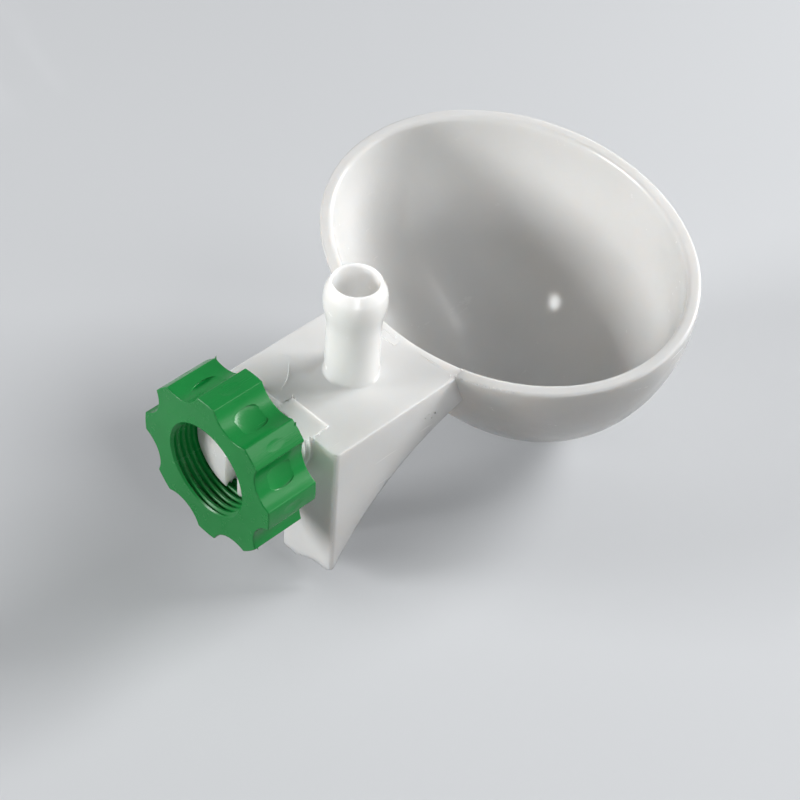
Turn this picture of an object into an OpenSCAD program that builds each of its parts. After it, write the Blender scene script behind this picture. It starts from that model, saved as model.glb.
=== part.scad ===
// Drinking cup for poultry and cage birds, to scale in millimetres.
// +Z is up, +Y points back out of the clamp nut, the bowl lies towards -Y.
// The origin is on the stud's axis, in the rear face of the back plate.
// Left and right are as seen from behind the nut: right is towards -X.
// Two pieces: the white cup, one moulding, and the green clamp nut on its stud.

/* [Bowl] */
// width of the bowl across, over the rim
bowl_w = 68.2; // [50:0.2:90]
// length of the bowl from back to front, over the rim
bowl_l = 51; // [40:0.2:70]
// depth of the bowl outside, square to its rim
bowl_h = 38; // [25:0.5:55]
// thickness of the bowl's wall
bowl_wall = 2.2; // [1.6:0.1:4]
// slope of the rim, which rises towards the front, in degrees
bowl_tilt = 13.8; // [0:0.2:18]
// roundness of the bowl's side, 2 is a half ellipse and less is more pointed
bowl_round = 1.56; // [1.3:0.02:2.2]
// how far the bowl's bottom lies nearer the plate than its middle
bowl_lean = 1.2; // [0:0.1:4]

/* [Arm] */
// distance from the back plate's rear face to the bowl's rear edge
arm_l = 23.3; // [16:0.2:40]
// width of the arm and of the back plate
arm_w = 24; // [18:0.5:34]
// thickness of the arm's top and of its two cheeks
arm_wall = 2.2; // [1.6:0.1:4]
// height of the arm's top above the stud's axis
arm_top = 1.9; // [1:0.1:8]
// depth of the cheeks below the arm's top where they meet the bowl
cheek_h = 7.3; // [4:0.1:12]
// radius of the sweep of the cheeks' lower edge
cheek_r = 41.6; // [24:0.2:90]

/* [Back plate] */
// thickness of the back plate
plate_t = 2.4; // [1.8:0.1:4]
// height of the plate from the arm's top down to its right hand corner
plate_h = 25.5; // [18:0.1:34]
// how much lower the rough foot hangs beside the slot
foot_mid = 2.8; // [0:0.1:5]
// how much lower the rough foot hangs at the left hand corner
foot_left = 5; // [0:0.2:8]
// width of the slot for a cage wire, in the stud and in the plate
slot_w = 2.8; // [2:0.1:4]

/* [Hose barb] */
// distance of the barb's axis from the plate's rear face
barb_y = 14.5; // [10:0.1:18]
// height of the barb's mouth above the arm's top
barb_h = 18; // [12:0.2:26]
// outer diameter of the barb's shaft
barb_d = 8.3; // [6:0.1:12]
// outer diameter of the bulb that grips the hose
bulb_d = 9.8; // [7:0.1:14]
// length of the bulb
bulb_l = 8.2; // [4:0.2:12]
// diameter of the mouth
mouth_d = 7.2; // [4:0.1:10]
// diameter of the water way below the bulb
water_d = 5; // [2:0.1:7]
// diameter of the outlet in the bowl's rear wall
outlet_d = 3; // [1:0.1:5]

/* [Stud] */
// outer diameter of the stud, over its thread
stud_d = 15.3; // [10:0.1:24]
// length of the stud behind the plate
stud_l = 10.6; // [6:0.1:20]
// how much the stud's flat top stands above the arm's top
stud_rise = 0.3; // [0:0.1:3]
// distance from the plate's front to the end of the raised strip in line with the stud's top
strip_l = 0.7; // [0:0.1:3]

/* [Nut] */
// diameter over the lobes' tips
nut_d = 27.4; // [20:0.2:40]
// diameter between the bottoms of the hollows
nut_valley_d = 23.4; // [17:0.2:36]
// number of lobes
lobes = 8; // [5:1:12]
// radius of the hollows between the lobes
hollow_r = 4.8; // [3:0.1:8]
// thickness of the nut
nut_t = 9.3; // [5:0.1:16]
// gap between the plate and the nut, where the cage's wires are clamped
clamp_gap = 5.6; // [0.5:0.1:8]
// gap all round between the stud and the nut, in which the real threads run
thread_gap = 0.08; // [0.05:0.01:0.1]

/* [Hidden] */
bowl_rings = 14;
bowl_sides = 60;
stud_r = stud_d / 2;
nut_bore_r = stud_r + thread_gap;
stud_top = arm_top + stud_rise;
half_w = arm_w / 2;
in_w = half_w - arm_wall;
tilt_rise = bowl_l / 2 * sin(bowl_tilt);
tilt_reach = bowl_l / 2 * cos(bowl_tilt);
// the rim's rear edge lies this much under the arm's top
rim_sink = 0.15;
rim_y = -(arm_l + tilt_reach);
rim_z = arm_top - rim_sink + tilt_rise;
// the middle of the circle that the cheeks' lower edge follows
cheek_back = arm_top - plate_h - 1;
cheek_front = arm_top - cheek_h;
chord = sqrt(pow(arm_l, 2) + pow(cheek_front - cheek_back, 2));
chord_turn = atan2(cheek_front - cheek_back, arm_l);
sweep_in = sqrt(pow(cheek_r, 2) - pow(chord / 2, 2));
sweep_y = -(arm_l / 2 + sweep_in * sin(chord_turn));
sweep_z = (cheek_back + cheek_front) / 2 - sweep_in * cos(chord_turn);
foot_z = arm_top - plate_h;
barb_r = barb_d / 2;
bulb_r = bulb_d / 2;
mouth_r = mouth_d / 2;
water_r = water_d / 2;
outlet_r = outlet_d / 2;
mouth_z = arm_top + barb_h;
// the fillet round the barb's root
root_r = 1.2;
// the boss under the arm and the channel to the bowl have walls this thick
way_wall = 1.6;
boss_r = water_r + way_wall;
channel_r = outlet_r + way_wall;
way_z = arm_top - arm_wall - channel_r;
boss_end = way_z - outlet_r - 0.4 - way_wall;
$fn = 96;

// an oval bowl form in rings, each one smaller and lower, closed by a flat lid
module bowl_solid(w, l, h, over) {
  low = [for (i = [0:bowl_rings - 1]) let (t = sin(90 * i / bowl_rings))
    [sqrt(1 - pow(t, bowl_round)), -h * t, bowl_lean * t]];
  rings = concat(over > 0 ? [[1, over, 0]] : [], low);
  n = bowl_sides;
  last = len(rings) - 1;
  ring_points = [for (r = rings) for (j = [0:n - 1])
    [w / 2 * r[0] * cos(360 * j / n), l / 2 * r[0] * sin(360 * j / n) + r[2], r[1]]];
  lid = [for (j = [n - 1:-1:0]) j];
  sides = [for (r = [0:last - 1]) for (j = [0:n - 1]) let (k = (j + 1) % n)
    [r * n + j, r * n + k, (r + 1) * n + k, (r + 1) * n + j]];
  tip = [for (j = [0:n - 1]) [last * n + j, last * n + (j + 1) % n, (last + 1) * n]];
  polyhedron(points = concat(ring_points, [[0, bowl_lean, -h]]), faces = concat([lid], sides, tip));
}

// puts a thing drawn in the rim's own plane where the bowl is
module at_rim() {
  translate([0, rim_y, rim_z])
    rotate([-bowl_tilt, 0, 0])
      children();
}

module bowl_outside() {
  at_rim() bowl_solid(bowl_w, bowl_l, bowl_h, 0);
}

module bowl_inside() {
  at_rim() bowl_solid(bowl_w - 2 * bowl_wall, bowl_l - 2 * bowl_wall, bowl_h - bowl_wall, 12);
}

// the arm's top runs on flat across the rim, which rises above it on both sides
module rim_trim() {
  translate([-half_w, -arm_l - bowl_wall - 1, arm_top])
    cube([arm_w, bowl_wall + 1.5, bowl_wall]);
}

// the arm seen from the side, from the plate to inside the bowl's wall
module arm_side(w) {
  translate([-w / 2, 0, 0])
    rotate([90, 0, 90])
      linear_extrude(w)
        difference() {
          translate([-arm_l - 6, arm_top - plate_h - 1])
            square([arm_l + 6, plate_h + 1]);
          translate([sweep_y, sweep_z])
            circle(r = cheek_r, $fn = 240);
        }
}

// the hollow under the arm, between the two cheeks
module arm_hollow() {
  translate([-in_w, -arm_l - 10, arm_top - plate_h - 10])
    cube([2 * in_w, arm_l + 10 - plate_t, plate_h + 10 - arm_wall]);
}

// the back plate, with its slanting rough foot, which the slot cuts through
module plate() {
  rotate([90, 0, 0])
    linear_extrude(plate_t)
      polygon([
        [-half_w, arm_top],
        [-half_w, foot_z],
        [-half_w * 0.94, foot_z - 0.4],
        [-half_w * 0.64, foot_z - foot_mid * 0.35],
        [-half_w * 0.46, foot_z - foot_mid * 0.8],
        [-half_w * 0.26, foot_z - foot_mid],
        [0, foot_z - foot_mid * 0.9],
        [half_w * 0.45, foot_z - (foot_mid + foot_left) / 2 + 0.3],
        [half_w * 0.72, foot_z - foot_left],
        [half_w, foot_z - foot_left],
        [half_w, arm_top]
      ]);
}

// the barb, its rounded root on the arm's top and the boss under it
module barb_solid() {
  translate([0, -barb_y, 0])
    rotate_extrude($fn = 96)
      polygon([
        [0, boss_end],
        [boss_r, boss_end],
        [boss_r, arm_top - arm_wall / 2],
        [barb_r + root_r, arm_top - arm_wall / 2],
        [barb_r + root_r, arm_top],
        [barb_r + root_r * 0.35, arm_top + root_r * 0.3],
        [barb_r, arm_top + root_r],
        [barb_r, mouth_z - bulb_l],
        [bulb_r - 0.3, mouth_z - bulb_l * 0.72],
        [bulb_r, mouth_z - bulb_l * 0.52],
        [bulb_r, mouth_z - bulb_l * 0.3],
        [bulb_r - 0.35, mouth_z - bulb_l * 0.12],
        [mouth_r + 0.6, mouth_z],
        [0, mouth_z]
      ]);
}

// the water's way down the barb and forward into the bowl
module water_way() {
  translate([0, -barb_y, 0])
    rotate_extrude($fn = 96)
      polygon([
        [0, way_z - outlet_r - 0.4],
        [water_r, way_z - outlet_r - 0.4],
        [water_r, mouth_z - bulb_l - 1],
        [mouth_r, mouth_z - bulb_l],
        [mouth_r, mouth_z + 1],
        [0, mouth_z + 1]
      ]);
  translate([0, -barb_y, way_z])
    rotate([90, 0, 0])
      cylinder(r = outlet_r, h = arm_l - barb_y + 12);
}

// the channel from the boss to the bowl's rear wall
module channel() {
  translate([-channel_r, -arm_l - 4, way_z])
    cube([2 * channel_r, arm_l + 4 - barb_y, arm_top - arm_wall / 2 - way_z]);
  translate([0, -barb_y, way_z])
    rotate([90, 0, 0])
      cylinder(r = channel_r, h = arm_l + 4 - barb_y);
}

// the stud is round below and cut flat on top
module stud() {
  difference() {
    translate([0, -plate_t / 2, 0])
      rotate([-90, 0, 0])
        cylinder(r = stud_r, h = stud_l + plate_t / 2);
    translate([-stud_r - 1, -plate_t, stud_top])
      cube([2 * stud_r + 2, stud_l + plate_t + 1, 2 * stud_r]);
  }
}

// the stud's flat top runs on over the plate as a low strip, right of the slot's left wall
module strip() {
  translate([-stud_r + 0.7, -plate_t - strip_l, arm_top - arm_wall / 2])
    cube([stud_r - 0.7 + slot_w / 2 - 0.3, plate_t + strip_l + 0.3, stud_top - arm_top + arm_wall / 2]);
}

// the slot for a cage wire runs through the stud and on down the plate
module slot() {
  translate([-slot_w / 2, 0, -stud_r - 1])
    cube([slot_w, stud_l + 1, 2 * stud_r + 2]);
  translate([-slot_w / 2, -plate_t - 0.5, foot_z - foot_mid - 2])
    cube([slot_w, plate_t + 1, foot_mid + 2 - foot_z - stud_r + 1]);
}

module cup() {
  color([0.93, 0.93, 0.92])
    difference() {
      union() {
        bowl_outside();
        difference() {
          arm_side(arm_w);
          arm_hollow();
        }
        plate();
        barb_solid();
        channel();
        stud();
        strip();
      }
      bowl_inside();
      rim_trim();
      water_way();
      slot();
    }
}

module nut() {
  color([0.1, 0.5, 0.24])
    difference() {
      translate([0, clamp_gap, 0])
        rotate([-90, 0, 0])
          cylinder(d = nut_d, h = nut_t);
      for (i = [0:lobes - 1])
        rotate([0, (i + 0.5) * 360 / lobes, 0])
          translate([nut_valley_d / 2 + hollow_r, clamp_gap - 1, 0])
            rotate([-90, 0, 0])
              cylinder(r = hollow_r, h = nut_t + 2);
      translate([0, clamp_gap - 1, 0])
        rotate([-90, 0, 0])
          cylinder(r = nut_bore_r, h = nut_t + 2);
    }
}

cup();
nut();
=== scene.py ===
import math
import random

import bpy
from mathutils import Matrix, Vector


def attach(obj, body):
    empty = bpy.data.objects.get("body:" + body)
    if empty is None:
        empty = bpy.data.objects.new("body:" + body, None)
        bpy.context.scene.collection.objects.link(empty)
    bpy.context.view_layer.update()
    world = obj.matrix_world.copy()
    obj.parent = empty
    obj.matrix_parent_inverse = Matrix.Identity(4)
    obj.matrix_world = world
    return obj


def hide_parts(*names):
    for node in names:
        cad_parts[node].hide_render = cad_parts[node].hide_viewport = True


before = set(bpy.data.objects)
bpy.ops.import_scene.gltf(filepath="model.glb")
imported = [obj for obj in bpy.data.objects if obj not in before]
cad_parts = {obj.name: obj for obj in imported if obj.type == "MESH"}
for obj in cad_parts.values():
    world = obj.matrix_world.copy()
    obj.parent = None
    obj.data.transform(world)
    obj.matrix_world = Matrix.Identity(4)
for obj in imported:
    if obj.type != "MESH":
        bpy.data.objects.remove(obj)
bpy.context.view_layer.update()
random.seed(7)


# Bowl: the oval cup that the birds drink from, moulded in natural white polypropylene with the arm
# behind it. Its wall is thickest at the rim, which is flat with softly rounded edges and rises
# towards the front. Here the outer form and the hollow are made apart, and the hollow is cut later.
BOWL_HALF_WIDTH = 34.09
BOWL_HALF_LENGTH = 25.48
BOWL_DEPTH = 37.97
BOWL_WALL = 2.2
BOWL_TILT = math.radians(13.8)
BOWL_ROUNDNESS = 1.56
BOWL_LEAN = 1.2
BOWL_MIDDLE = Vector((0, -48.064, 7.834))
BOWL_SIDES = 224
BOWL_STEPS = 44
RIM_OUTER_ROUND = 0.45
RIM_INNER_ROUND = 0.85


def clear_selection():
    if bpy.context.object and bpy.context.object.mode != "OBJECT":
        bpy.ops.object.mode_set(mode="OBJECT")
    bpy.ops.object.select_all(action="DESELECT")


def name_piece(name):
    piece = bpy.context.object
    piece.name = name
    piece.data.name = name
    return piece


def work_on(piece):
    clear_selection()
    piece.select_set(True)
    bpy.context.view_layer.objects.active = piece


def edit_all(piece, select_mode="VERT"):
    work_on(piece)
    bpy.ops.object.mode_set(mode="EDIT")
    bpy.ops.mesh.select_mode(type=select_mode)
    bpy.ops.mesh.select_all(action="SELECT")


def leave_edit():
    bpy.ops.object.mode_set(mode="OBJECT")


def pick_points(piece, test):
    """Selects the points that pass the test and goes to edit mode."""
    work_on(piece)
    bpy.ops.object.mode_set(mode="EDIT")
    bpy.ops.mesh.select_mode(type="VERT")
    bpy.ops.mesh.select_all(action="DESELECT")
    bpy.ops.object.mode_set(mode="OBJECT")
    for point in piece.data.vertices:
        point.select = test(point.co)
    bpy.ops.object.mode_set(mode="EDIT")


def pick_edges(piece, test):
    """Selects the edges whose two ends pass the test and goes to edit mode."""
    work_on(piece)
    bpy.ops.object.mode_set(mode="EDIT")
    bpy.ops.mesh.select_mode(type="EDGE")
    bpy.ops.mesh.select_all(action="DESELECT")
    bpy.ops.object.mode_set(mode="OBJECT")
    points = piece.data.vertices
    for edge in piece.data.edges:
        edge.select = test(points[edge.vertices[0]].co, points[edge.vertices[1]].co)
    bpy.ops.object.mode_set(mode="EDIT")


def draw_rings(name, sides, rings):
    """A closed form of rings, each extruded from the last. A ring is (half width, half length, y, z)."""
    clear_selection()
    half_w, half_l, y, z = rings[0]
    bpy.ops.mesh.primitive_circle_add(vertices=sides, radius=1, location=(0, 0, 0))
    piece = name_piece(name)
    edit_all(piece)
    bpy.ops.transform.resize(value=(half_w, half_l, 1), center_override=(0, 0, 0))
    bpy.ops.transform.translate(value=(0, y, z))
    for new, old in zip(rings[1:], rings):
        bpy.ops.mesh.extrude_edges_move()
        bpy.ops.transform.translate(value=(0, new[2] - old[2], new[3] - old[3]))
        bpy.ops.transform.resize(
            value=(new[0] / old[0], new[1] / old[1], 1), center_override=(0, new[2], new[3])
        )
    bpy.ops.mesh.edge_face_add()
    leave_edit()
    pick_edges(piece, lambda a, b: False)
    bpy.ops.mesh.select_non_manifold()
    bpy.ops.mesh.edge_face_add()
    bpy.ops.mesh.select_all(action="SELECT")
    bpy.ops.mesh.normals_make_consistent(inside=False)
    leave_edit()
    return piece


def round_rings(pairs):
    """Rings of a round form from pairs of (radius, height)."""
    return [(radius, radius, 0, height) for radius, height in pairs]


def place(piece, turn=(0, 0, 0), to=(0, 0, 0)):
    """Turns and moves a piece, and leaves its object at the origin, unturned."""
    work_on(piece)
    piece.rotation_euler = turn
    piece.location = to
    bpy.ops.object.transform_apply(location=True, rotation=True, scale=True)


def combine(piece, tool, operation, loose=False):
    """Joins a tool to a piece, or cuts it away, and drops the tool. A loose one crosses itself."""
    work_on(piece)
    step = piece.modifiers.new(operation, "BOOLEAN")
    step.operation = operation
    step.solver = "EXACT"
    step.use_self = loose
    step.object = tool
    bpy.ops.object.modifier_apply(modifier=step.name)
    bpy.data.objects.remove(tool)


def oval_rings(half_w, half_l, depth, top_z):
    """The bowl's rings from near its bottom up to just under top_z."""
    rings = []
    for step in range(1, BOWL_STEPS):
        drop = math.cos(math.pi / 2 * step / BOWL_STEPS)
        size = math.sqrt(1 - drop**BOWL_ROUNDNESS)
        if -depth * drop < top_z:
            rings.append((half_w * size, half_l * size, BOWL_LEAN * drop, -depth * drop))
    return rings


outer_rings = oval_rings(BOWL_HALF_WIDTH, BOWL_HALF_LENGTH, BOWL_DEPTH, -RIM_OUTER_ROUND)
for turn in (0, 30, 60, 90):
    inset = RIM_OUTER_ROUND * (1 - math.cos(math.radians(turn)))
    lift = RIM_OUTER_ROUND * (math.sin(math.radians(turn)) - 1)
    outer_rings.append((BOWL_HALF_WIDTH - inset, BOWL_HALF_LENGTH - inset, 0, lift))
cup = draw_rings("cup_moulding", BOWL_SIDES, outer_rings)
place(cup, turn=(-BOWL_TILT, 0, 0), to=BOWL_MIDDLE)

inner_width = BOWL_HALF_WIDTH - BOWL_WALL
inner_length = BOWL_HALF_LENGTH - BOWL_WALL
hollow_rings = oval_rings(inner_width, inner_length, BOWL_DEPTH - BOWL_WALL, -RIM_INNER_ROUND)
for turn in (0, 18, 36, 54, 72, 90):
    outset = RIM_INNER_ROUND * (1 - math.cos(math.radians(turn)))
    lift = RIM_INNER_ROUND * (math.sin(math.radians(turn)) - 1)
    hollow_rings.append((inner_width + outset, inner_length + outset, 0, lift))
hollow_rings.append((inner_width + outset, inner_length + outset, 0, 12))
bowl_hollow = draw_rings("bowl_hollow", BOWL_SIDES, hollow_rings)
place(bowl_hollow, turn=(-BOWL_TILT, 0, 0), to=BOWL_MIDDLE)


# Arm and back plate: one flat topped bracket behind the bowl, moulded with it and open underneath.
# Two cheeks sweep up from the plate's foot to the bowl. The plate's lower edge is a rough slanting
# tear, where the moulding was broken from its runner.
ARM_TOP = 1.9
ARM_HALF_WIDTH = 12.0
ARM_WALL = 2.2
ARM_REACH = 29.3
PLATE_THICK = 2.4
SWEEP_MIDDLE = (-36.304, -44.915)
SWEEP_RADIUS = 41.6
FOOT_EDGE = (
    (-12.6, -22.8), (-11.9, -23.6), (-11.2, -24.1), (-9.4, -24.3), (-7.6, -24.6), (-6.5, -25.1),
    (-5.5, -25.8), (-4.2, -26.2), (-3.1, -26.5), (-1.6, -26.2), (0.0, -26.1), (2.6, -26.6),
    (5.4, -27.2), (7.2, -27.9), (8.6, -28.5), (10.4, -28.4), (11.9, -28.5), (12.6, -28.5),
)


def draw_box(name, low, high):
    """A box between two corners."""
    clear_selection()
    middle = [(a + b) / 2 for a, b in zip(low, high)]
    bpy.ops.mesh.primitive_cube_add(size=1, location=middle)
    piece = name_piece(name)
    piece.scale = [b - a for a, b in zip(low, high)]
    place(piece, to=middle)
    return piece


def bevel_picked(width, steps):
    bpy.ops.mesh.bevel(offset=width, segments=steps, profile=0.5, affect="EDGES", clamp_overlap=True)
    leave_edit()


def along(a, b, axis):
    """Whether an edge runs along an axis, 0 to 2."""
    return all(abs(a[i] - b[i]) < 0.001 for i in range(3) if i != axis)


arm = draw_box("arm", (-ARM_HALF_WIDTH, -ARM_REACH, -28.6), (ARM_HALF_WIDTH, 0, ARM_TOP))
pick_edges(arm, lambda a, b: along(a, b, 2) and a.y > -0.01)
bevel_picked(0.8, 4)
pick_edges(arm, lambda a, b: a.z > ARM_TOP - 0.01 and b.z > ARM_TOP - 0.01 and max(a.y, b.y) > -ARM_REACH + 0.1)
bevel_picked(0.2, 3)

clear_selection()
bpy.ops.mesh.primitive_cylinder_add(vertices=300, radius=SWEEP_RADIUS, depth=40)
sweep = name_piece("sweep")
place(sweep, turn=(0, math.pi / 2, 0), to=(0, *SWEEP_MIDDLE))
combine(sweep, draw_box("behind", (ARM_WALL - ARM_HALF_WIDTH, -PLATE_THICK, -90), (30, 20, 20)), "DIFFERENCE")
combine(arm, sweep, "DIFFERENCE")

hollow = draw_box(
    "arm_hollow",
    (-ARM_HALF_WIDTH + ARM_WALL, -34, -40),
    (ARM_HALF_WIDTH - ARM_WALL, -PLATE_THICK, ARM_TOP - ARM_WALL),
)
pick_edges(hollow, lambda a, b: a.z > -1 and b.z > -1 or along(a, b, 2) and a.y > -PLATE_THICK - 0.01)
bevel_picked(0.6, 3)
combine(arm, hollow, "DIFFERENCE")

# the torn foot is a thin slab walked along the tear, with small nicks, and cut from the plate
clear_selection()
bpy.ops.mesh.primitive_plane_add(size=2)
tear = name_piece("tear")
edit_all(tear)
bpy.ops.transform.resize(value=(20, 3, 1), center_override=(0, 0, 0))
bpy.ops.transform.translate(value=(60, 0, FOOT_EDGE[0][0]))
last_x, last_edge = FOOT_EDGE[0][0], 40.0
steps = []
for (x0, z0), (x1, z1) in zip(FOOT_EDGE, FOOT_EDGE[1:]):
    count = max(2, round((x1 - x0) / 0.3))
    for i in range(count):
        share = i / count
        nick = random.uniform(-0.16, 0.16) + (random.random() > 0.86) * random.uniform(-0.1, 0.35)
        steps.append((x0 + (x1 - x0) * share, z0 + (z1 - z0) * share + nick))
steps.append(FOOT_EDGE[-1])
for x, z in steps:
    bpy.ops.mesh.extrude_region_move()
    bpy.ops.transform.translate(value=(0, 0, x - last_x))
    top = -z
    half = (80 - top) / 2
    bpy.ops.transform.resize(value=(half / ((80 - last_edge) / 2), 1, 1), center_override=(80, 0, x))
    last_x, last_edge = x, top
bpy.ops.mesh.select_all(action="SELECT")
bpy.ops.mesh.remove_doubles(threshold=0.001)
bpy.ops.mesh.normals_make_consistent(inside=False)
leave_edit()
place(tear, turn=(0, math.pi / 2, 0))
combine(arm, tear, "DIFFERENCE")
pick_edges(
    arm,
    lambda a, b: abs(abs(a.x) - ARM_HALF_WIDTH) < 0.01
    and abs(a.x - b.x) < 0.01
    and all(
        abs(math.hypot(p.y - SWEEP_MIDDLE[0], p.z - SWEEP_MIDDLE[1]) - SWEEP_RADIUS) < 0.02
        for p in (a, b)
    ),
)
bevel_picked(0.3, 3)


# Hose barb: a hollow upright pipe with a rounded bulb near its mouth, which the water hose is pushed
# over. It is moulded on the arm's top with a small fillet round its root. Under the arm a boss and a
# channel take the water on to the bowl.
BARB_Y = -14.5
BARB_SIDES = 96
BARB_OUTSIDE = (
    (4.1, -8.7), (4.1, 0.9), (4.62, 1.0), (4.55, 1.91), (4.42, 1.96), (4.32, 2.08), (4.26, 2.25),
    (4.23, 2.6), (4.22, 4.2), (4.22, 11.2), (4.25, 11.9), (4.33, 12.7), (4.47, 13.5),
    (4.68, 14.4), (4.83, 15.2), (4.89, 16.0), (4.89, 16.7), (4.82, 17.5), (4.7, 18.1),
    (4.58, 18.4), (4.32, 18.95), (4.08, 19.45), (3.96, 19.72), (3.86, 19.86), (3.76, 19.9),
)
BARB_BORE = (
    (2.5, -6.9), (2.5, 10.7), (2.7, 11.3), (3.2, 12.3), (3.42, 13.2), (3.48, 15.0), (3.5, 19.2),
    (3.54, 19.6), (3.64, 19.83), (3.8, 19.94), (4.2, 21.0),
)
WATER_WAY_Z = -3.4
OUTLET_RADIUS = 1.5
CHANNEL_RADIUS = 3.1

barb = draw_rings("barb", BARB_SIDES, round_rings(BARB_OUTSIDE))
place(barb, to=(0, BARB_Y, 0))
barb_bore = draw_rings("barb_bore", BARB_SIDES, round_rings(BARB_BORE))
place(barb_bore, to=(0, BARB_Y, 0))


def draw_pipe(name, radius, start_y, end_y, x, z, sides=48):
    """A round bar along the cup's length."""
    clear_selection()
    bpy.ops.mesh.primitive_cylinder_add(vertices=sides, radius=radius, depth=abs(end_y - start_y))
    piece = name_piece(name)
    place(piece, turn=(math.pi / 2, 0, 0), to=(x, (start_y + end_y) / 2, z))
    return piece


channel = draw_pipe("channel", CHANNEL_RADIUS, BARB_Y, -27.3, 0, WATER_WAY_Z)
web = draw_box("web", (-CHANNEL_RADIUS, -27.2, WATER_WAY_Z), (CHANNEL_RADIUS, BARB_Y, ARM_TOP - 1.1))
outlet = draw_pipe("outlet", OUTLET_RADIUS, BARB_Y, -36, 0, WATER_WAY_Z)


# Stud: the threaded post behind the plate that goes between the wires of the cage, moulded with the
# plate. An upright slot splits it and runs on down the plate, so that one wire lies in it.
THREAD_PITCH = 1.06
STUD_CREST = 7.42
STUD_ROOT = 6.92
STUD_END = 10.6
SLOT_HALF_WIDTH = 1.4
SLOT_LEAN = math.radians(4)
STUD_FLAT = 2.2
STRIP_RIGHT, STRIP_LEFT = -6.9, 1.0
STRIP_FRONT = -3.1
STRIP_LIFT = 0.22


def draw_thread(name, crest, root, low, high, steps):
    """A threaded bar, right handed, closed at both ends and lying along Y from low to high."""
    pitch = THREAD_PITCH
    clear_selection()
    bpy.ops.mesh.primitive_plane_add(size=0.1, location=(0, 0, 0))
    piece = name_piece(name)
    edit_all(piece)
    bpy.ops.mesh.merge(type="CENTER")
    bpy.ops.transform.translate(value=(root, 0, 0))
    for across, rise in ((0, 0.14), (crest - root, 0.3), (0, 0.12), (root - crest, 0.3), (0, 0.14)):
        bpy.ops.mesh.extrude_region_move(
            TRANSFORM_OT_translate={"value": (across, 0, rise * pitch)}
        )
    leave_edit()
    turns = math.ceil((high - low) / pitch) + 4
    screw = piece.modifiers.new("screw", "SCREW")
    screw.axis = "Z"
    screw.steps = screw.render_steps = steps
    screw.screw_offset = pitch
    screw.iterations = turns
    screw.use_merge_vertices = True
    screw.merge_threshold = 0.001
    bpy.ops.object.modifier_apply(modifier=screw.name)
    edit_all(piece)
    bpy.ops.mesh.remove_doubles(threshold=0.002)
    for height, direction in ((2 * pitch, -1), (2 * pitch + high - low, 1)):
        bpy.ops.mesh.select_all(action="SELECT")
        bpy.ops.mesh.bisect(
            plane_co=(0, 0, height), plane_no=(0, 0, direction), use_fill=True, clear_outer=True
        )
    bpy.ops.mesh.select_all(action="SELECT")
    bpy.ops.mesh.normals_make_consistent(inside=False)
    leave_edit()
    place(piece, turn=(-math.pi / 2, 0, 0), to=(0, low - 2 * pitch, 0))
    return piece


stud = draw_thread("stud", STUD_CREST, STUD_ROOT, -1.2, STUD_END, 72)
stud_form = draw_rings(
    "stud_form", 96, round_rings(((9, -3), (9, STUD_END - 1.2), (6.75, STUD_END), (5, STUD_END)))
)
place(stud_form, turn=(-math.pi / 2, 0, 0))
combine(stud, stud_form, "INTERSECT")
combine(stud, draw_box("stud_top", (-10, -5, STUD_FLAT), (10, 14, 12)), "DIFFERENCE")
strip = draw_box("strip", (STRIP_RIGHT, STRIP_FRONT, 0.8), (STRIP_LEFT, 0.3, STUD_FLAT))
pick_points(strip, lambda p: p.z > 1 and p.y < 0)
bpy.ops.transform.translate(value=(0, 0, STRIP_LIFT))
leave_edit()


# One moulding: the bowl, arm, barb and stud are one piece of plastic, so their forms are joined here
# and the hollow, the water way and the slot are cut through them all.
for part in (arm, channel, web, barb, stud, strip):
    combine(cup, part, "UNION")
rim_trim = draw_box("rim_trim", (-ARM_HALF_WIDTH, -27, ARM_TOP), (ARM_HALF_WIDTH, -22.5, ARM_TOP + 2.5))
slot = draw_box("slot", (-SLOT_HALF_WIDTH, 0, -9), (SLOT_HALF_WIDTH, 12, 9))
plate_slot = draw_box("plate_slot", (-SLOT_HALF_WIDTH, -PLATE_THICK - 0.8, -32), (SLOT_HALF_WIDTH, 1, -6.65))
place(slot, turn=(0, 0, SLOT_LEAN))
combine(slot, plate_slot, "UNION")
for tool in (bowl_hollow, rim_trim, outlet, barb_bore, slot):
    combine(cup, tool, "DIFFERENCE")


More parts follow.
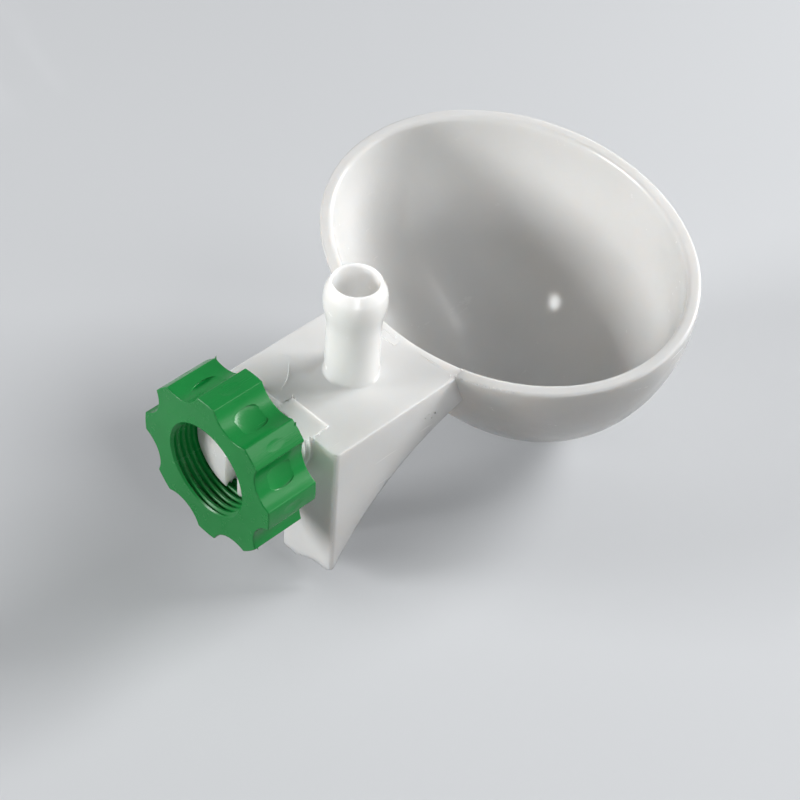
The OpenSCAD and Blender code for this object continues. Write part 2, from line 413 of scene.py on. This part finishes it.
# Flash: where the parts of the mould met, slivers and low ridges of plastic stand on the moulding: at
# the strip, by the rim, on the cheek, and curving over the arm beside the nut. The mould's pins left
# a ring in the bowl, a low tab beside the barb and two pinholes by the plate's edge.
SLIVERS = (
    # x, y, z, width, height, lean in x and in y
    (1.0, -3.1, 2.2, 0.4, 0.95, 0.3, -0.5), (0.45, -3.15, 2.2, 0.3, 0.7, -0.2, -0.6),
    (0.95, -2.2, 2.1, 0.3, 0.5, 0.7, 0.0), (0.95, -1.4, 2.1, 0.3, 0.4, 0.8, 0.1),
    (-6.8, -3.0, 2.2, 0.35, 0.6, -0.9, -0.3), (-6.85, 0.1, 2.0, 0.3, 0.5, -0.8, 0.2),
    (0.4, -24.3, 1.8, 0.4, 0.9, 0.0, -0.5), (-0.6, -24.2, 1.8, 0.3, 0.5, -0.2, -0.4),
    (-11.7, -25.2, 1.85, 0.4, 0.9, -0.4, -0.2), (-11.2, -24.9, 1.8, 0.3, 0.6, 0.1, 0.3),
    (-12.0, -21.0, -2.9, 0.5, 0.55, -0.8, 0.2), (-12.0, -20.3, -3.5, 0.4, 0.45, -0.8, 0.0),
    (-12.0, -19.6, -2.4, 0.3, 0.4, -0.8, 0.1), (-12.0, -18.8, -2.7, 0.3, 0.35, -0.8, 0.2),
    (1.5, 10.4, -6.6, 0.4, 0.6, 0.3, 0.6), (1.7, 10.3, -6.2, 0.3, 0.5, 0.1, 0.8),
    (2.2, 10.4, -6.4, 0.3, 0.5, 0.6, 0.3), (2.9, 10.4, -6.1, 0.3, 0.45, 0.4, 0.4),
)
RIM_SLIVERS = 30
FIN_STEPS = 14
RING_MIDDLE = Vector((2.5, -57.0, -26.5))
RING_FACING = Vector((-0.12, 0.42, 0.9))
RING_RADIUS = 3.6
PINHOLES = ((-11.75, -0.1, 1.55), (-11.8, -0.12, -17.5))


def draw_sliver(x, y, z, width, height, lean_x, lean_y, rise=1):
    """A thin leaning spike with its foot sunk in the moulding."""
    clear_selection()
    bpy.ops.mesh.primitive_cone_add(vertices=8, radius1=width / 2, radius2=0.02, depth=1)
    piece = name_piece("sliver")
    edit_all(piece)
    bpy.ops.mesh.subdivide(number_cuts=1)
    leave_edit()
    way = Vector((lean_x, lean_y, rise)).normalized()
    piece.scale = (1, 0.6, height)
    piece.rotation_mode = "QUATERNION"
    piece.rotation_quaternion = Vector((0, 0, 1)).rotation_difference(way)
    piece.location = Vector((x, y, z)) + way * height * 0.3
    bpy.ops.object.transform_apply(location=True, rotation=True, scale=True)
    piece.rotation_mode = "XYZ"
    return piece


def draw_fin(start, end, bow, width, height, rough):
    """A low ridge from start to end, bowed sideways, that thins out at both ends."""
    way = Vector(end) - Vector(start)
    rings = []
    for step in range(FIN_STEPS + 1):
        rise = math.sin(math.pi * step / FIN_STEPS)
        size = (0.15 + 0.85 * rise) * (1 + rough * random.uniform(-1, 1))
        length = way.length * step / FIN_STEPS
        rings.append((height * size, width / 2 * size, bow * rise, length))
    fin = draw_rings("fin", 10, rings)
    place(fin, turn=(0, math.pi / 2, math.atan2(way.y, way.x)), to=start)
    return fin


def on_rim(degrees, inset, drop):
    """A point at the rim's outer edge. Degrees are counted from the end away from the camera."""
    turn = math.radians(degrees)
    point = Vector(
        (
            (BOWL_HALF_WIDTH - inset) * math.cos(turn),
            (BOWL_HALF_LENGTH - inset) * math.sin(turn),
            -drop,
        )
    )
    point.rotate(Matrix.Rotation(-BOWL_TILT, 3, "X"))
    return point + BOWL_MIDDLE


flash = [draw_sliver(*sliver) for sliver in SLIVERS]
for number in range(RIM_SLIVERS):
    spot = on_rim(112 + 0.57 * number + random.uniform(-0.2, 0.2), 0.15, 0.15 + 0.2 * random.random())
    lean = (random.uniform(-0.6, 0.2), random.uniform(0.2, 0.8))
    flash.append(draw_sliver(*spot, 0.36, random.uniform(0.3, 0.62), *lean))
flash.append(draw_fin((7.6, -8.4, 1.85), (3.4, -2.6, 1.85), 0.55, 0.3, 0.26, 0.1))
flash.append(draw_fin((6.4, -9.6, 1.86), (10.6, -7.6, 1.86), -0.3, 0.24, 0.1, 0.2))
flash.append(draw_fin((-0.9, -24.35, 1.86), (4.2, -24.35, 1.86), 0.0, 0.36, 0.16, 0.4))
flash.append(draw_fin((-3.4, -24.5, 1.86), (-11.0, -25.1, 1.9), 0.0, 0.26, 0.12, 0.5))
flash.append(draw_fin((-11.3, -24.9, 1.88), (-11.8, -22.9, 1.88), 0.0, 0.3, 0.16, 0.4))
tab = draw_box("tab", (-0.7, -24.2, 1.2), (3.0, -22.9, 2.02))
pick_edges(tab, lambda a, b: a.z > 2 and b.z > 2)
bevel_picked(0.08, 2)
flash.append(tab)
clear_selection()
bpy.ops.mesh.primitive_torus_add(
    major_segments=72, minor_segments=8, major_radius=RING_RADIUS, minor_radius=0.16
)
ring = name_piece("ring_mark")
ring.rotation_mode = "QUATERNION"
ring.rotation_quaternion = Vector((0, 0, 1)).rotation_difference(RING_FACING)
ring.location = RING_MIDDLE
bpy.ops.object.transform_apply(location=True, rotation=True, scale=True)
ring.rotation_mode = "XYZ"
flash.append(ring)
work_on(flash[0])
for piece in flash:
    piece.select_set(True)
bpy.ops.object.join()
combine(cup, flash[0], "UNION", loose=True)
for spot in PINHOLES:
    clear_selection()
    bpy.ops.mesh.primitive_ico_sphere_add(subdivisions=2, radius=0.26, location=spot)
    hole = name_piece("pinhole")
    place(hole, to=spot)
    combine(cup, hole, "DIFFERENCE")


def bring_to_metres(piece):
    work_on(piece)
    piece.scale = (0.001, 0.001, 0.001)
    bpy.ops.object.transform_apply(location=True, rotation=True, scale=True)


def tidy_mesh(piece, merge, angle):
    """Merges doubles, and shades smooth up to an angle between faces."""
    edit_all(piece)
    bpy.ops.mesh.remove_doubles(threshold=merge)
    bpy.ops.mesh.dissolve_degenerate(threshold=merge)
    leave_edit()
    work_on(piece)
    bpy.ops.object.shade_smooth_by_angle(angle=math.radians(angle))
    step = piece.modifiers.new("weights", "WEIGHTED_NORMAL")
    step.keep_sharp = True
    bpy.ops.object.modifier_apply(modifier=step.name)


tidy_mesh(cup, 0.005, 32)
bring_to_metres(cup)


# Clamp nut: green polypropylene with eight lobes for the fingers and a thread inside, screwed on the
# stud to grip the cage's wires. Its lobes have crisp edges, and the plastic has sunk a little in the
# middle of each hollow between them.
NUT_IN = 5.6
NUT_THICK = 9.3
NUT_TIP = 13.7
NUT_VALLEY = 11.7
NUT_HOLLOW = 4.8
LOBES = 8
NUT_CREST = 7.48
NUT_ROOT = 7.98
NUT_BITS = (
    # x, y, z, width, height, lean in x and in y
    (8.2, 5.8, 10.7, 0.6, 0.8, 0.2, -0.5), (-8.9, 5.8, 10.2, 0.9, 0.6, -0.2, -0.5),
    (-10.7, 14.35, -8.3, 0.5, 0.6, -0.9, 0.0, -1),
)

clear_selection()
bpy.ops.mesh.primitive_cylinder_add(vertices=160, radius=NUT_TIP, depth=NUT_THICK)
nut = name_piece("nut_moulding")
place(nut, turn=(math.pi / 2, 0, 0), to=(0, NUT_IN + NUT_THICK / 2, 0))
for lobe in range(LOBES):
    turn = math.radians((lobe + 0.5) * 360 / LOBES)
    across = NUT_VALLEY + NUT_HOLLOW
    scoop = draw_pipe(
        "scoop", NUT_HOLLOW, NUT_IN - 1, NUT_IN + NUT_THICK + 1,
        across * math.cos(turn), across * math.sin(turn), 64,
    )
    combine(nut, scoop, "DIFFERENCE")
edit_all(nut, "EDGE")
bpy.ops.mesh.remove_doubles(threshold=0.02)
bpy.ops.mesh.select_all(action="DESELECT")
bpy.ops.mesh.edges_select_sharp(sharpness=math.radians(30))
bpy.ops.mesh.bevel(offset=0.3, segments=3, profile=0.5, affect="EDGES", clamp_overlap=True)
leave_edit()
for lobe in range(LOBES):
    for half, depth, across, length in ((0.5, 0.2, 2.2, 2.9), (0.0, 0.1, 1.2, 2.0)):
        turn = math.radians((lobe + half) * 360 / LOBES)
        surface = (NUT_VALLEY if half else NUT_TIP) + random.uniform(-0.05, 0.05)
        clear_selection()
        bpy.ops.mesh.primitive_uv_sphere_add(segments=40, ring_count=24, radius=1)
        sink = name_piece("sink")
        sink.scale = (depth * 2, length * random.uniform(0.9, 1.1), across)
        bpy.ops.object.transform_apply(location=False, rotation=False, scale=True)
        middle = surface + depth
        place(
            sink,
            turn=(0, -turn, 0),
            to=(middle * math.cos(turn), NUT_IN + NUT_THICK / 2, middle * math.sin(turn)),
        )
        combine(nut, sink, "DIFFERENCE")
bore = draw_thread("bore", NUT_ROOT, NUT_CREST, NUT_IN - 1.5, NUT_IN + NUT_THICK + 1.5, 72)
combine(nut, bore, "DIFFERENCE")
for end, outwards in ((NUT_IN, -1), (NUT_IN + NUT_THICK, 1)):
    lead_in = draw_rings("lead_in", 96, round_rings(((7.35, -0.62), (8.0, 0.03), (8.0, 1.0))))
    place(lead_in, turn=(-math.pi / 2 * outwards, 0, 0), to=(0, end, 0))
    combine(nut, lead_in, "DIFFERENCE")
for bit in NUT_BITS:
    combine(nut, draw_sliver(*bit), "UNION")
tidy_mesh(nut, 0.01, 32)
bring_to_metres(nut)


# Plastics: both are polypropylene straight from a polished mould, glossy with faint clouds, flow
# lines and fine scuffs. The white one lets a little light through.
WHITE = (0.765, 0.765, 0.76, 1)
GREEN = (0.006, 0.24, 0.045, 1)


def node(tree, kind, **values):
    made = tree.nodes.new(kind)
    for key, value in values.items():
        if hasattr(made, key):
            setattr(made, key, value)
        else:
            made.inputs[key.replace("_", " ").title()].default_value = value
    return made


def build_moulded_skin():
    """A group that gives moulded plastic its clouds, scuffs and faint waviness."""
    group = bpy.data.node_groups.new("moulded_skin", "ShaderNodeTree")
    for name, kind in (("Scale", "NodeSocketFloat"), ("Vector", "NodeSocketVector")):
        group.interface.new_socket(name, in_out="INPUT", socket_type=kind)
    for name in ("Clouds", "Scuffs", "Height"):
        group.interface.new_socket(name, in_out="OUTPUT", socket_type="NodeSocketFloat")
    enter = group.nodes.new("NodeGroupInput")
    leave = group.nodes.new("NodeGroupOutput")
    place_map = group.nodes.new("ShaderNodeVectorMath")
    place_map.operation = "SCALE"
    group.links.new(enter.outputs["Vector"], place_map.inputs[0])
    group.links.new(enter.outputs["Scale"], place_map.inputs["Scale"])
    clouds = node(group, "ShaderNodeTexNoise", scale=60.0, detail=3.0, roughness=0.55)
    waves = node(group, "ShaderNodeTexNoise", scale=150.0, detail=2.0, roughness=0.5)
    grain = node(group, "ShaderNodeTexNoise", scale=2600.0, detail=2.0, roughness=0.6)
    scratches = node(group, "ShaderNodeTexNoise", scale=420.0, detail=4.0, roughness=0.7)
    stretch = group.nodes.new("ShaderNodeMapping")
    stretch.inputs["Rotation"].default_value = (0.4, 0.9, 0.5)
    stretch.inputs["Scale"].default_value = (1, 0.06, 1)
    group.links.new(place_map.outputs[0], stretch.inputs["Vector"])
    group.links.new(stretch.outputs[0], scratches.inputs["Vector"])
    for texture in (clouds, waves, grain):
        group.links.new(place_map.outputs[0], texture.inputs["Vector"])
    sharpen = node(group, "ShaderNodeMapRange")
    sharpen.inputs["From Min"].default_value = 0.58
    sharpen.inputs["From Max"].default_value = 0.75
    group.links.new(scratches.outputs["Fac"], sharpen.inputs["Value"])
    mix = group.nodes.new("ShaderNodeMath")
    mix.operation = "MULTIPLY_ADD"
    mix.inputs[1].default_value = 0.06
    group.links.new(grain.outputs["Fac"], mix.inputs[0])
    group.links.new(waves.outputs["Fac"], mix.inputs[2])
    group.links.new(clouds.outputs["Fac"], leave.inputs["Clouds"])
    group.links.new(sharpen.outputs[0], leave.inputs["Scuffs"])
    group.links.new(mix.outputs[0], leave.inputs["Height"])
    return group


skin_group = build_moulded_skin()


def build_plastic(name, colour, deep_colour, gloss, shine, see_through, wave):
    material = bpy.data.materials.new(name)
    material.use_nodes = True
    tree = material.node_tree
    shader = tree.nodes["Principled BSDF"]
    shader.inputs["IOR"].default_value = 1.49
    shader.inputs["Subsurface Weight"].default_value = see_through
    shader.inputs["Subsurface Radius"].default_value = (1.0, 0.92, 0.85)
    shader.inputs["Subsurface Scale"].default_value = 0.0022
    shader.inputs["Specular IOR Level"].default_value = shine
    where = tree.nodes.new("ShaderNodeTexCoord")
    skin = tree.nodes.new("ShaderNodeGroup")
    skin.node_tree = skin_group
    skin.inputs["Scale"].default_value = 1.0
    tree.links.new(where.outputs["Object"], skin.inputs["Vector"])
    tint = tree.nodes.new("ShaderNodeMix")
    tint.data_type = "RGBA"
    tint.inputs[6].default_value = deep_colour
    tint.inputs[7].default_value = colour
    spread = tree.nodes.new("ShaderNodeMapRange")
    spread.inputs["From Min"].default_value = 0.3
    spread.inputs["From Max"].default_value = 0.7
    tree.links.new(skin.outputs["Clouds"], spread.inputs["Value"])
    tree.links.new(spread.outputs[0], tint.inputs["Factor"])
    tree.links.new(tint.outputs[2], shader.inputs["Base Color"])
    rough = tree.nodes.new("ShaderNodeMapRange")
    rough.inputs["To Min"].default_value = gloss
    rough.inputs["To Max"].default_value = gloss + 0.12
    tree.links.new(skin.outputs["Scuffs"], rough.inputs["Value"])
    tree.links.new(rough.outputs[0], shader.inputs["Roughness"])
    bump = tree.nodes.new("ShaderNodeBump")
    bump.inputs["Strength"].default_value = wave
    bump.inputs["Distance"].default_value = 0.0004
    tree.links.new(skin.outputs["Height"], bump.inputs["Height"])
    tree.links.new(bump.outputs[0], shader.inputs["Normal"])
    return material


white_plastic = build_plastic("white_polypropylene", WHITE, (0.73, 0.73, 0.72, 1), 0.2, 0.45, 1.0, 0.25)
green_plastic = build_plastic("green_polypropylene", GREEN, (0.004, 0.20, 0.036, 1), 0.26, 0.3, 0.0, 0.35)
for piece, material, body, name, slot_name in (
    (cup, white_plastic, "cup_body", "cup", "white_plastic"),
    (nut, green_plastic, "clamp_nut", "nut", "green_plastic"),
):
    piece.data.materials.clear()
    piece.data.materials.append(material)
    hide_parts(name)
    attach(piece, body)


# Floor: a plain pale sheet that the cup stands on. It rests on the bowl's bottom and the plate's
# lower corner, so the sheet leans a little against the cup's own upright.
FLOOR_NORMAL = Vector((0.10933, -0.01291, 0.99392))
FLOOR_DROP = -0.0287

clear_selection()
bpy.ops.mesh.primitive_plane_add(size=6)
floor = name_piece("floor")
floor.rotation_mode = "QUATERNION"
floor.rotation_quaternion = Vector((0, 0, 1)).rotation_difference(FLOOR_NORMAL)
floor.location = FLOOR_NORMAL * FLOOR_DROP
FLOOR_SEEN = (0.50, 0.51, 0.525, 1)
FLOOR_LIFT = (0.14, 0.145, 0.15, 1)
FLOOR_DULL = (0.12, 0.12, 0.12, 1)


def seen_ray(tree):
    """1 for rays that show a surface as it looks, straight on, mirrored or through glass."""
    path = tree.nodes.new("ShaderNodeLightPath")
    either = tree.nodes.new("ShaderNodeMath")
    either.operation = "MAXIMUM"
    tree.links.new(path.outputs["Is Camera Ray"], either.inputs[0])
    tree.links.new(path.outputs["Is Glossy Ray"], either.inputs[1])
    last = tree.nodes.new("ShaderNodeMath")
    last.operation = "MAXIMUM"
    tree.links.new(either.outputs[0], last.inputs[0])
    tree.links.new(path.outputs["Is Transmission Ray"], last.inputs[1])
    return last.outputs[0]


paper = bpy.data.materials.new("pale_floor")
paper.use_nodes = True
tree = paper.node_tree
pale = tree.nodes["Principled BSDF"]
pale.inputs["Base Color"].default_value = FLOOR_SEEN
pale.inputs["Roughness"].default_value = 0.6
pale.inputs["Specular IOR Level"].default_value = 0.2
pale.inputs["Emission Color"].default_value = FLOOR_LIFT
pale.inputs["Emission Strength"].default_value = 1.0
dull = tree.nodes.new("ShaderNodeBsdfDiffuse")
dull.inputs["Color"].default_value = FLOOR_DULL
choose = tree.nodes.new("ShaderNodeMixShader")
tree.links.new(seen_ray(tree), choose.inputs[0])
tree.links.new(dull.outputs[0], choose.inputs[1])
tree.links.new(pale.outputs[0], choose.inputs[2])
tree.links.new(choose.outputs[0], tree.nodes["Material Output"].inputs[0])
floor.data.materials.append(paper)


# Light: a broad panel in front of the bowl, whose rim shades the bowl's middle from it, smaller ones
# on the right and low behind the nut, and three fine spots: on the barb, into its mouth, and one
# that leaves the small bright point in the bowl.
def lamp_place(azimuth, elevation, distance, aim=None):
    """Azimuth 0 is in front of the bowl and 90 to its left as seen from behind the nut."""
    turn, rise = math.radians(azimuth), math.radians(elevation)
    return (aim or AIM) + distance * Vector(
        (math.sin(turn) * math.cos(rise), -math.cos(turn) * math.cos(rise), math.sin(rise))
    )


def add_lamp(name, spot, width, height, watts, aim=None, cone=None):
    data = bpy.data.lights.new(name, "SPOT" if cone else "AREA")
    if cone:
        data.spot_size = cone
        data.spot_blend = 1.0
        data.shadow_soft_size = width
    else:
        data.shape = "RECTANGLE"
        data.size = width
        data.size_y = height
    data.energy = watts
    lamp = bpy.data.objects.new(name, data)
    bpy.context.scene.collection.objects.link(lamp)
    lamp.location = spot
    lamp.rotation_euler = ((aim or AIM) - spot).to_track_quat("-Z", "Y").to_euler()
    return lamp


AIM = Vector((0, -0.04, -0.005))
BARB_AIM = Vector((0, -0.0145, 0.0105))
MOUTH_AIM = Vector((0, -0.0145, 0.019))
BOWL_AIM = Vector((0.0024, -0.0662, -0.0171))
add_lamp("front_panel", lamp_place(-24, 36, 0.8), 0.42, 0.32, 7.5)
add_lamp("right_panel", lamp_place(-70, 43, 0.8), 0.3, 0.44, 1.35)
add_lamp("left_low_panel", lamp_place(144, 14, 0.8), 0.24, 0.24, 5.2)
add_lamp("right_low_panel", lamp_place(-130, 7, 0.8), 0.24, 0.24, 1.9)
for name, place_of, soft, watts, aim, cone in (
    ("barb_right_spot", (-107, 20, 0.7), 0.01, 9.5, BARB_AIM, 1.5),
    ("barb_middle_spot", (-140, 18, 0.6), 0.01, 7, BARB_AIM, 1.0),
    ("barb_left_spot", (122, 20, 0.7), 0.01, 11, BARB_AIM, 1.5),
    ("mouth_spot", (-140, 52, 0.5), 0.004, 10, MOUTH_AIM, 1.0),
    ("bowl_spot", (180, 62, 0.16), 0.0005, 1.2, BOWL_AIM, 1.0),
):
    add_lamp(name, lamp_place(*place_of, aim), soft, 0, watts, aim, math.radians(cone))

world = bpy.data.worlds.new("pale_world")
bpy.context.scene.world = world
world.use_nodes = True
sky = world.node_tree.nodes["Background"]
sky.inputs["Color"].default_value = (0.9, 0.93, 1.0, 1)
sky.inputs["Strength"].default_value = 0.0
seen = world.node_tree.nodes.new("ShaderNodeBackground")
seen.inputs["Color"].default_value = (0.56, 0.57, 0.585, 1)
seen.inputs["Strength"].default_value = 1.0
choose = world.node_tree.nodes.new("ShaderNodeMixShader")
world.node_tree.links.new(seen_ray(world.node_tree), choose.inputs[0])
world.node_tree.links.new(sky.outputs[0], choose.inputs[1])
world.node_tree.links.new(seen.outputs[0], choose.inputs[2])
world.node_tree.links.new(choose.outputs[0], world.node_tree.nodes["World Output"].inputs[0])

# Camera: behind the nut, to its right and well above, as in the photograph.
camera_data = bpy.data.cameras.new("camera")
camera_data.lens = 97.21
camera_data.sensor_width = 36
camera = bpy.data.objects.new("camera", camera_data)
bpy.context.scene.collection.objects.link(camera)
camera.location = (-0.16431, 0.15620, 0.23088)
camera.rotation_euler = tuple(math.radians(turn) for turn in (45.138, -3.318, -134.672))
bpy.context.scene.camera = camera
bpy.context.scene.view_settings.view_transform = "Standard"
